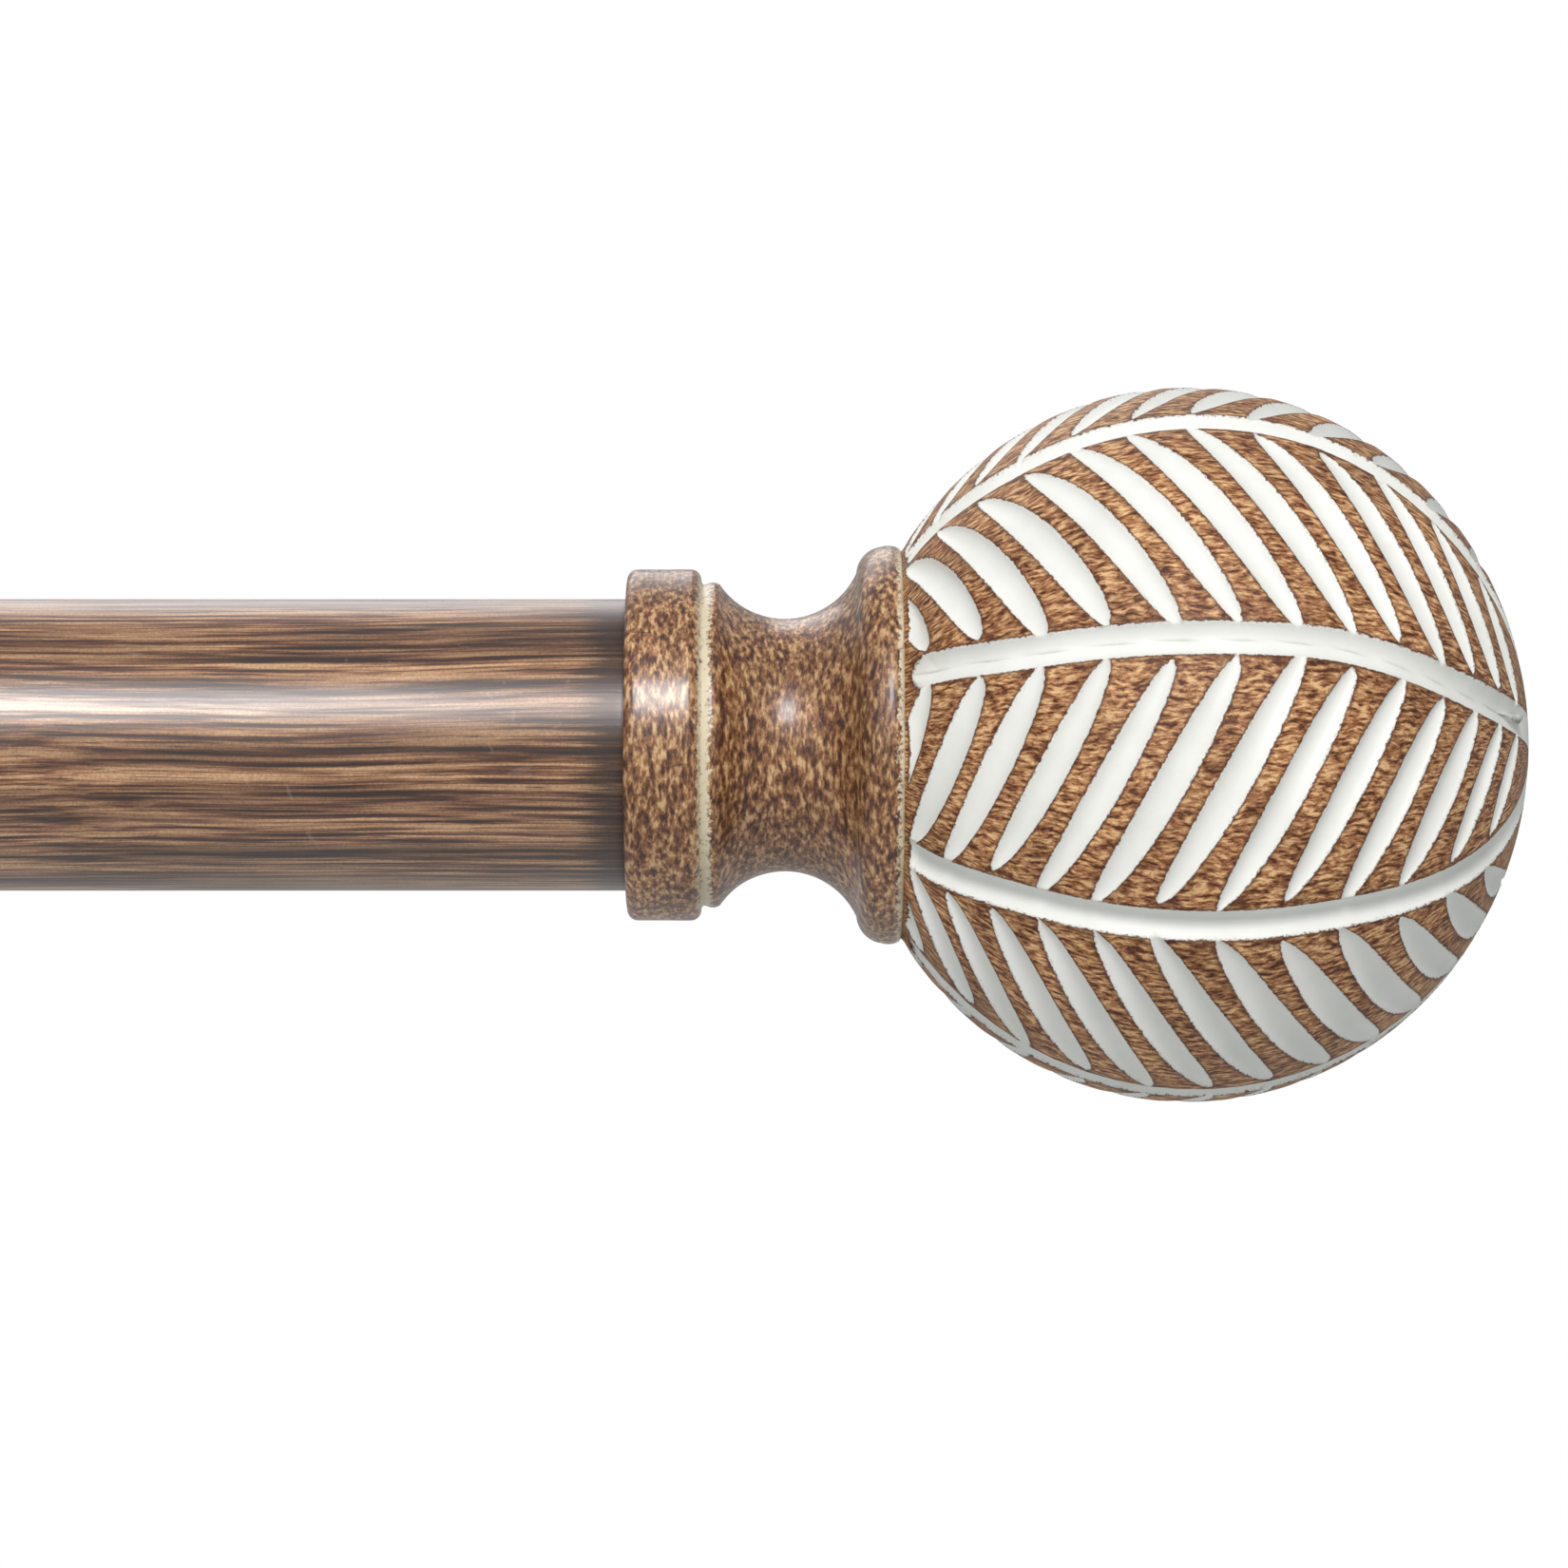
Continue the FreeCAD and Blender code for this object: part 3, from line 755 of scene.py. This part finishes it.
def plated(name, thread_axis=None, pitch=0.0):
    """Zinc plating: cool grey steel with soft clouding and hair scratches, or a thread's crests."""
    material, tree, shader = new_material(name, Metallic=1.0)
    at = node(tree, "TexCoord")["Object"]
    worn = grouped(tree, wear, Place=at, Size=110.0)
    tone = colours(tree, worn["Patches"], [(0.33, 0.50, 0.50, 0.49), (0.64, 0.66, 0.66, 0.645)])
    tone = blend(tree, worn["Scratches"], tone, (0.80, 0.80, 0.78, 1))
    tree.links.new(tone, shader["Base Color"])
    tree.links.new(rescale(tree, worn["Patches"], 0.3, 0.7, 0.42, 0.27), shader["Roughness"])
    height = worn["Specks"]
    depth = 0.01 * MM
    if thread_axis is not None:
        rise = node(tree, "SeparateXYZ", {0: at})[thread_axis]
        turn = work(tree, "MULTIPLY", rise, 2 * math.pi / pitch)
        height = rescale(tree, work(tree, "SINE", turn), -1, 1)
        depth = 0.3 * MM
    tree.links.new(relief(tree, height, 0.8, depth), shader["Normal"])
    return material


stud_pitch = 1.25 * MM
zinc = plated("zinc plating")
stud_thread = plated("stud thread", thread_axis=0, pitch=stud_pitch)
finish_nodes(stud_thread, "right_finial_stud", "left_finial_stud")
finish_nodes(zinc, "right_plug_insert", "left_plug_insert")

# --------------------------------------
# Wall plates, wall screws and anchors
#
# A pressed steel disc is screwed to the wall with three pan head screws in ringed plastic anchors.
# The heads have a cross recess, and the cover hides them all.
# --------------------------------------

finish_nodes(zinc, "right_wall_plate", "left_wall_plate", "right_sleeve_screw", "left_sleeve_screw")
finish_nodes(zinc, "right_cup_screw", "left_cup_screw")

grey_shades = [(0.35, 0.27, 0.27, 0.28), (0.65, 0.36, 0.36, 0.37)]
grey_scratch = (0.50, 0.50, 0.50, 1)
grey_plastic = moulded_plastic("grey plastic", 200.0, grey_shades, grey_scratch, 0.42, 0.56)
finish_nodes(grey_plastic, "right_wall_anchors", "left_wall_anchors")


def box_middle(name, axis):
    """The middle of a CAD node's box along one axis."""
    low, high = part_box(name)
    return (low[axis] + high[axis]) / 2


bracket_x = {side: box_middle(f"{side}_wall_plate", 0) for side in ("right", "left")}
plate_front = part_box("right_wall_plate")[0].y
screw_circle = 21 * MM
screw_count = 3
head_height = 2.6 * MM
cross_half_width = 0.55 * MM
cross_half_length = 1.9 * MM
cross_depth = 1.3 * MM
cross_taper = 0.6
screw_steps = 40

# The screw's outline in millimetres, from the head's face: (distance, radius)
pan_outline = [(0, 2.3), (0.15, 3.1), (0.55, 3.7), (1.1, 3.9), (2.6, 3.9), (2.6, 2.3)]
pan_outline += [(5.1, 2.3), (5.1, 1.8), (7.6, 1.8), (7.6, 2.0)]
thread_start, thread_pitch, thread_turns = 8.2, 1.5, 17
for turn_number in range(thread_turns):
    root = thread_start + thread_pitch * turn_number
    pan_outline += [(root, 1.55), (root + 0.6, 2.1), (root + 0.9, 2.1), (root + thread_pitch, 1.55)]
pan_outline += [(33.6, 1.5), (35.6, 0.0)]


def cut_across(bm, geometry, normal, distance):
    """Cuts a flat part of a shape along a line, and gives back what is there after the cut."""
    return bmesh.ops.bisect_plane(bm, geom=geometry, plane_co=normal * distance, plane_no=normal)["geom"]


def pan_screw(origin):
    """One pan head screw with a cross recess, its head's face at the origin, pointing into the wall."""
    bm = swept(in_metres(pan_outline), screw_steps)
    rim = [e for e in bm.edges if e.is_boundary]
    top = bmesh.ops.contextual_create(bm, geom=rim)["faces"]
    geometry = top + list(top[0].edges) + list(top[0].verts)
    for normal in (Y, Z):
        for distance in (cross_half_width, -cross_half_width, cross_half_length, -cross_half_length):
            geometry = cut_across(bm, geometry, normal, distance)
    arms = []
    for face in (g for g in geometry if isinstance(g, bmesh.types.BMFace)):
        middle = face.calc_center_median()
        thin, long = sorted((abs(middle.y), abs(middle.z)))
        if thin < cross_half_width and long < cross_half_length:
            arms.append(face)
    sunk = bmesh.ops.extrude_face_region(bm, geom=arms)["geom"]
    for vert in verts_in(sunk):
        x, y, z = vert.co
        vert.co = Vector((x + cross_depth, y * cross_taper, z * cross_taper))
    bmesh.ops.delete(bm, geom=[face for face in arms if face.is_valid], context="FACES_ONLY")
    bmesh.ops.transform(bm, matrix=along_axis(origin, Y), verts=bm.verts)
    return bm


def joined(pieces):
    """Several shapes in one mesh."""
    whole = bmesh.new()
    for part in pieces:
        one = bpy.data.meshes.new("part of a piece")
        part.to_mesh(one)
        part.free()
        whole.from_mesh(one)
        bpy.data.meshes.remove(one)
    return whole


for side, x in bracket_x.items():
    screws = []
    for number in range(screw_count):
        turn = math.pi / 2 + 2 * math.pi * number / screw_count
        from_middle = screw_circle * Vector((math.cos(turn), 0, math.sin(turn)))
        screws.append(pan_screw(Vector((x, plate_front - head_height, 0)) + from_middle))
    wall_screws = finished(joined(screws), f"{side}_pan_screws", sharp_angle=40)
    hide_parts(f"{side}_wall_screws")
    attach(wall_screws, "wall_side")
    wall_screws.data.materials.append(zinc)

# --------------------------------------
# Covers
#
# A cap spun from thin steel hides each plate and its screws. It has a straight rim, a domed face
# and a short collar round the sleeve, and is powder coated brown to go with the rod.
# --------------------------------------

bronze_glint = (0.36, 0.20, 0.095, 1)
rubbed_bronze = (0.30, 0.18, 0.10, 1)

bronze_paint, tree, shader = new_material("bronze powder coat", Coat_Roughness=0.25)
at = node(tree, "TexCoord")["Object"]
worn = grouped(tree, wear, Place=at, Size=75.0)
coat = colours(
    tree,
    worn["Patches"],
    [(0.30, 0.046, 0.023, 0.013), (0.50, 0.072, 0.038, 0.021), (0.70, 0.110, 0.060, 0.033)],
)
glints = noise_pattern(tree, at, 2600.0, 2.0, 0.6)
coat = blend(tree, rescale(tree, glints, 0.60, 0.74, 0.0, 0.7), coat, bronze_glint)
coat = blend(tree, work(tree, "MULTIPLY", worn["Scratches"], 0.3), coat, rubbed_bronze)
tree.links.new(coat, shader["Base Color"])
tree.links.new(rescale(tree, glints, 0.55, 0.74, 0.15, 0.75), shader["Metallic"])
tree.links.new(rescale(tree, worn["Patches"], 0.3, 0.7, 0.36, 0.52), shader["Roughness"])
tree.links.new(rescale(tree, worn["Patches"], 0.3, 0.7, 0.35, 0.1), shader["Coat Weight"])
orange_peel = noise_pattern(tree, at, 1300.0, 2.0, 0.5)
tree.links.new(relief(tree, orange_peel, 0.35, 0.06 * MM), shader["Normal"])

# The cover's outline in millimetres, as (distance from the wall, radius): outside, then inside
cover_outline = [(0.3, 31.8), (0.3, 33.0), (3.0, 33.0)]
cover_outline += arc((3.0, 33.0), (3.45, 32.75), (3.6, 32.2), 4)
cover_outline += [(3.7, 31.8)]
cover_outline += arc((3.7, 31.8), (8.9, 26.2), (11.2, 12.6), 24)
cover_outline += arc((11.2, 12.6), (11.4, 11.8), (12.1, 11.5), 4)
cover_outline += [(13.3, 11.5)]
cover_outline += arc((13.3, 11.5), (13.8, 11.3), (14.0, 10.8), 4)
cover_outline += [(14.0, 9.0)]
cover_outline += arc((14.0, 9.0), (13.8, 8.5), (13.3, 8.3), 4)
cover_outline += [(12.8, 8.3), (12.8, 10.3), (10.4, 10.4)]
cover_outline += arc((10.4, 10.4), (7.9, 25.2), (2.5, 30.6), 16)
cover_outline += [(2.4, 31.8)]

for side, x in bracket_x.items():
    cover = turned(in_metres(cover_outline), Vector((x, 0, 0)), -Y)
    cover = finished(cover, f"{side}_spun_cover")
    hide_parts(f"{side}_cover")
    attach(cover, f"{side}_cover_body")
    cover.data.materials.append(bronze_paint)

# --------------------------------------
# Sleeves
#
# A steel bar bored out for the arm is screwed to each plate from behind. A boss is welded on near
# its mouth, and is tapped for the arm's thumb screw, which comes up from below.
# --------------------------------------

sleeve_radius = 8 * MM
sleeve_length = 55 * MM
sleeve_solid = 8 * MM
sleeve_bore = 6.06 * MM
bolt_hole = 2.55 * MM
stud_hole = 2.05 * MM
boss_radius = 4.5 * MM
boss_face = 3 * MM  # from the bar's surface
weld = 0.9 * MM
arm_screw_y = box_middle("right_arm_screw", 1)
edge_round = 0.6 * MM


def boss(origin, direction, surface, sunk):
    """A welded stub with a hole down its middle: from inside a surface to its own face."""
    face = surface + boss_face
    outline = [
        (sunk, stud_hole),
        (sunk, boss_radius + weld),
        (surface - 0.6 * MM, boss_radius + weld),
        (surface - 0.1 * MM, boss_radius + 0.45 * weld),
        (surface + 0.5 * MM, boss_radius + 0.1 * weld),
        (surface + 1.0 * MM, boss_radius),
        (face - 0.5 * MM, boss_radius),
        (face - 0.15 * MM, boss_radius - 0.15 * MM),
        (face, boss_radius - 0.5 * MM),
        (face, stud_hole + 0.3 * MM),
        (face - 0.3 * MM, stud_hole),
    ]
    return turned(outline, origin, direction, steps=64)


for side, x in bracket_x.items():
    outline = [
        (0, bolt_hole),
        (0, sleeve_radius),
        (sleeve_length, sleeve_radius),
        (sleeve_length, sleeve_bore),
        (sleeve_solid, sleeve_bore),
        (sleeve_solid, bolt_hole),
    ]
    bar = turned(outline, Vector((x, plate_front, 0)), -Y, edge_round)
    stub = boss(Vector((x, arm_screw_y, 0)), -Z, sleeve_radius, sleeve_bore + 0.1 * MM)
    sleeve = finished(joined([bar, stub]), f"{side}_bored_sleeve")
    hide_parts(f"{side}_sleeve")
    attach(sleeve, "wall_side")
    sleeve.data.materials.append(bronze_paint)

# --------------------------------------
# Arms and cradles
#
# A solid round bar slides in each sleeve, with a flat below where its thumb screw bears. A bent
# steel cradle is screwed to the bar's front end, and has a tapped boss for the rod's thumb screw.
# --------------------------------------

arm_radius = 6 * MM
arm_flat = 0.5 * MM
sleeve_mouth = plate_front - sleeve_length
cradle_inside = 13 * MM
cradle_wall = 3 * MM
cradle_width = 14 * MM
cradle_rounding = 0.7 * MM
arm_rounding = 0.4 * MM
leg_height = 10 * MM
bend_steps = 40
leg_steps = 3


def round_arm(x, low, high):
    """The arm, turned and then milled flat below along the stretch that starts inside the sleeve."""
    length = high.y - low.y
    outline = [(0, 0), (0, arm_radius), (length, arm_radius), (length, 0)]
    bm = turned(outline, Vector((x, high.y, 0)), -Y, arm_rounding)
    for place in (sleeve_mouth, sleeve_mouth - 0.02 * MM):
        geometry = list(bm.verts) + list(bm.edges) + list(bm.faces)
        bmesh.ops.bisect_plane(bm, geom=geometry, plane_co=(0, place, 0), plane_no=Y, dist=0.002 * MM)
    for vert in bm.verts:
        if vert.co.y > sleeve_mouth - 0.01 * MM:
            vert.co.z = max(vert.co.z, arm_flat - arm_radius)
    return bm


def with_leg(bm, strip, direction):
    """Draws the strip's end edge out into a straight leg, and gives back the new end edge."""
    for _ in range(leg_steps):
        grown = bmesh.ops.extrude_edge_only(bm, edges=strip)["geom"]
        verts = verts_in(grown)
        bmesh.ops.translate(bm, verts=verts, vec=direction * leg_height / leg_steps)
        strip = [e for e in edges_in(grown) if set(e.verts) == set(verts)]
    return strip


def cradle(x):
    """The cradle: a flat strip, bent round below the rod with a straight leg each side."""
    bm = bmesh.new()
    across = [cradle_inside, cradle_inside + cradle_wall]
    corners = [bm.verts.new((x - cradle_width / 2, rod_y + reach, leg_height)) for reach in across]
    strip = with_leg(bm, [bm.edges.new(corners)], -Z)
    bend = {"cent": on_rod(x), "axis": -X, "angle": math.pi, "steps": bend_steps}
    last = bmesh.ops.spin(bm, geom=strip + list(strip[0].verts), **bend)["geom_last"]
    with_leg(bm, edges_in(last), Z)
    bmesh.ops.remove_doubles(bm, verts=bm.verts, dist=merge_distance)
    width = bmesh.ops.extrude_face_region(bm, geom=list(bm.faces), use_keep_orig=True)["geom"]
    bmesh.ops.translate(bm, verts=verts_in(width), vec=X * cradle_width)
    bmesh.ops.recalc_face_normals(bm, faces=bm.faces)
    rounded(bm, sharp_edges(bm, 60), cradle_rounding)
    return bm


for side, x in bracket_x.items():
    low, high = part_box(f"{side}_arm")
    arm = finished(round_arm(x, low, high), f"{side}_round_arm")
    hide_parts(f"{side}_arm")
    front_boss = boss(on_rod(x), -Y, cradle_inside + cradle_wall, cradle_inside + 0.4 * MM)
    cup = finished(joined([cradle(x), front_boss]), f"{side}_bent_cradle")
    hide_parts(f"{side}_cup")
    for piece in (arm, cup):
        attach(piece, f"{side}_arm_body")
        piece.data.materials.append(bronze_paint)

# --------------------------------------
# Thumb screws
#
# Each bracket has two: one under the sleeve that holds the arm, and one in front that holds the
# rod. A fluted knob is die cast on a zinc-plated threaded stud, and painted like the bracket.
# --------------------------------------

thumb_pitch = 0.7 * MM
upright_thread = plated("upright thread", thread_axis=2, pitch=thumb_pitch)
forward_thread = plated("forward thread", thread_axis=1, pitch=thumb_pitch)
finish_nodes(upright_thread, "right_arm_screw", "left_arm_screw")
finish_nodes(forward_thread, "right_rod_screw", "left_rod_screw")

knob_radius = 6 * MM
knob_neck = 3.75 * MM
knob_neck_length = 1.5 * MM
knob_thickness = 6.5 * MM
knob_rounding = 0.45 * MM
neck_rounding = 0.25 * MM
neck_sunk = 0.4 * MM  # into the knob
neck_steps = 48
flutes = 10
flute_depth = 1.15 * MM
knob_points = 180
# The dished face, as (distance from the knob's axis, depth below its rim)
dish_steps = [(4.15 * MM, 0.0), (3.95 * MM, 0.06 * MM), (3.75 * MM, 0.26 * MM), (3.4 * MM, 0.34 * MM)]


def fluted(turn):
    """How far the knob's edge is from its middle, at this turn."""
    return knob_radius - flute_depth * (0.5 + 0.5 * math.cos(flutes * turn)) ** 1.7


def knob(origin, direction):
    """The fluted knob with a dished face, and its neck."""
    bm = bmesh.new()
    bmesh.ops.create_circle(bm, cap_ends=True, radius=knob_radius, segments=knob_points)
    bmesh.ops.rotate(bm, verts=bm.verts, cent=(0, 0, 0), matrix=Matrix.Rotation(math.pi / 2, 3, "Y"))
    for vert in bm.verts:
        turn = math.atan2(vert.co.z, vert.co.y)
        reach = fluted(turn)
        vert.co = Vector((knob_neck_length, reach * math.cos(turn), reach * math.sin(turn)))
    top = bmesh.ops.extrude_face_region(bm, geom=list(bm.faces), use_keep_orig=True)["geom"]
    bmesh.ops.translate(bm, verts=verts_in(top), vec=X * knob_thickness)
    bmesh.ops.recalc_face_normals(bm, faces=bm.faces)
    rims = [e for e in bm.edges if abs(e.verts[0].co.x - e.verts[1].co.x) < 0.001 * MM]
    rounded(bm, rims, knob_rounding)
    for reach, sink in dish_steps:
        bm.normal_update()
        face = max(bm.faces, key=lambda f: len(f.verts) * (f.normal.x > 0.9))
        inner = bmesh.ops.extrude_face_region(bm, geom=[face])["geom"]
        for vert in verts_in(inner):
            out = Vector((0, vert.co.y, vert.co.z)).normalized()
            vert.co = out * reach + X * (knob_neck_length + knob_thickness - sink)
        bmesh.ops.delete(bm, geom=[face], context="FACES_ONLY")
    bmesh.ops.transform(bm, matrix=along_axis(origin, direction), verts=bm.verts)
    neck_end = knob_neck_length + neck_sunk
    neck = [(0, 0), (0, knob_neck), (neck_end, knob_neck), (neck_end, 0)]
    return joined([bm, turned(neck, origin, direction, neck_rounding, neck_steps)])


for side, x in bracket_x.items():
    for use, direction in (("arm", -Z), ("rod", -Y)):
        low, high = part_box(f"{side}_{use}_screw_knob")
        origin = (low + high) / 2
        if use == "arm":
            origin.z = high.z
        else:
            origin.y = high.y
        piece = finished(knob(origin, direction), f"{side}_{use}_fluted_knob")
        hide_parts(f"{side}_{use}_screw_knob")
        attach(piece, f"{side}_{use}_knob_body")
        piece.data.materials.append(bronze_paint)

# --------------------------------------
# Studio
#
# A pale floor well below the rod and an even white surround. One square softbox is high in front,
# with a wide one behind and a wide fill beside it. The camera looks straight at the right finial.
# --------------------------------------

floor_half = 13  # metres
floor_middle = (-0.25, -5, -1.5)
floor_mesh = bpy.data.meshes.new("studio_floor")
bm = bmesh.new()
bmesh.ops.create_grid(bm, x_segments=1, y_segments=1, size=floor_half)
bmesh.ops.translate(bm, verts=bm.verts, vec=floor_middle)
bm.to_mesh(floor_mesh)
bm.free()
floor = bpy.data.objects.new("studio_floor", floor_mesh)
bpy.context.collection.objects.link(floor)
pale, tree, shader = new_material("pale floor", Roughness=0.85, Emission_Color=(1, 1, 1, 1))
at = node(tree, "TexCoord")["Object"]
cloudy = noise_pattern(tree, at, 4.0, 2.0)
pale_tone = colours(tree, cloudy, [(0.3, 0.86, 0.86, 0.855), (0.7, 0.89, 0.89, 0.885)])
tree.links.new(pale_tone, shader["Base Color"])
seen = node(tree, "LightPath")["Is Camera Ray"]
tree.links.new(rescale(tree, seen, 0, 1, 0.05, 0.38), shader["Emission Strength"])
floor_mesh.materials.append(pale)

world = bpy.data.worlds.new("studio")
world.use_nodes = True
tree = world.node_tree
backdrop = tree.nodes["Background"]
backdrop.inputs["Color"].default_value = (1, 1, 1, 1)
seen = node(tree, "LightPath")["Is Camera Ray"]
tree.links.new(rescale(tree, seen, 0, 1, 0.44, 1.0), backdrop.inputs["Strength"])
bpy.context.scene.world = world
bpy.context.scene.view_settings.view_transform = "Standard"


view_middle = Vector((collar_right + 13.6 * MM, rod_y, -3.4 * MM))  # just right of the collar
warm_white = (1.0, 0.955, 0.94)


def softbox(name, power, size, away):
    """A square area light, this far from the middle of the view and turned to face it."""
    data = bpy.data.lights.new(name, "AREA")
    data.energy = power
    data.size = size
    data.color = warm_white
    light = bpy.data.objects.new(name, data)
    light.location = view_middle + Vector(away)
    light.rotation_euler = (-Vector(away)).to_track_quat("-Z", "Y").to_euler()
    bpy.context.collection.objects.link(light)


softbox("key", power=5.0, size=0.30, away=(-0.02, -0.76, 0.46))
softbox("back", power=5.0, size=1.0, away=(-0.3, 1.2, 1.1))
softbox("fill", power=2.6, size=1.2, away=(-0.9, -1.3, 0.5))

camera_distance = 443 * MM
camera_data = bpy.data.cameras.new("camera")
camera_data.lens = 116.7
camera_data.sensor_width = 36
camera = bpy.data.objects.new("camera", camera_data)
camera.location = view_middle - Y * camera_distance
camera.rotation_euler = (math.pi / 2, 0, 0)
bpy.context.collection.objects.link(camera)
bpy.context.scene.camera = camera
